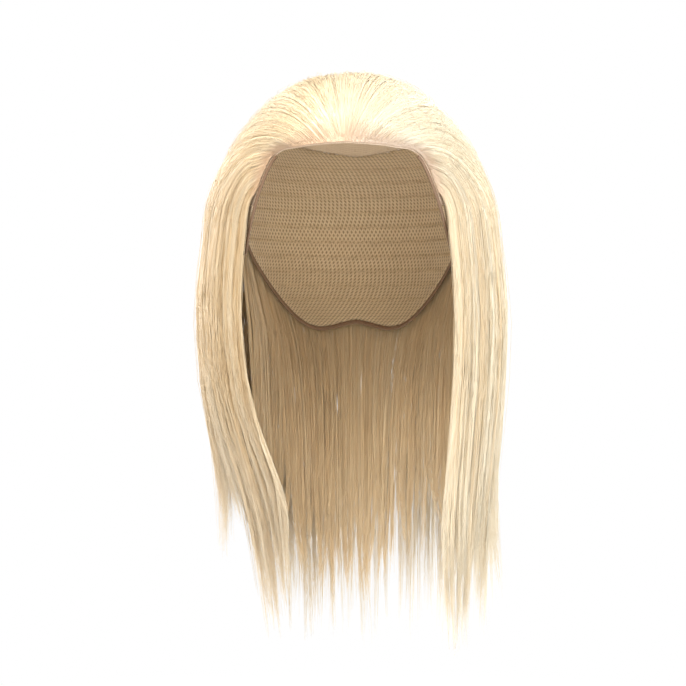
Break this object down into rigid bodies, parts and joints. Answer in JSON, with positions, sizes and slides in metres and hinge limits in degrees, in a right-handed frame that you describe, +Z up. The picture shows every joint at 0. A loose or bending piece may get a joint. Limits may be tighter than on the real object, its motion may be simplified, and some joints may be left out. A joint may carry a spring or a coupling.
{
  "type": "monofilament top wig",
  "caption": "Straight shoulder-length blonde wig on a sewn cap with a monofilament top and lace front, hair combed back from the hairline and falling in curtains at both sides.",
  "frame": {"origin": "crown point inside the cap, where the top of the wearer's head touches it", "axes": "+Z up along the standing wearer's head, -Y towards the face, +X towards the wearer's left"},
  "size_m": [0.2174, 0.1997, 0.4147],
  "materials": {
    "mono_top": "fine sheer monofilament mesh",
    "lace_front": "sheer lace",
    "net_back": "stretch net with sewn wefts",
    "ear_tab": "plain woven cloth",
    "edge_binding": "folded tape",
    "hair": "straight pale blonde fibre with a soft sheen",
    "inner_hair": "straight honey blonde fibre"
  },
  "bodies": {
    "root": {"mono_top": "mono_top", "lace_front": "lace_front", "net_back": "net_back", "ear_tab_left": "ear_tab", "ear_tab_right": "ear_tab", "edge_binding": "edge_binding", "top_hair": "hair", "front_hair_left": "hair", "front_hair_right": "hair", "side_hair_left": "hair", "side_hair_right": "hair", "nape_hair": "inner_hair"}
  },
  "joints": []
}
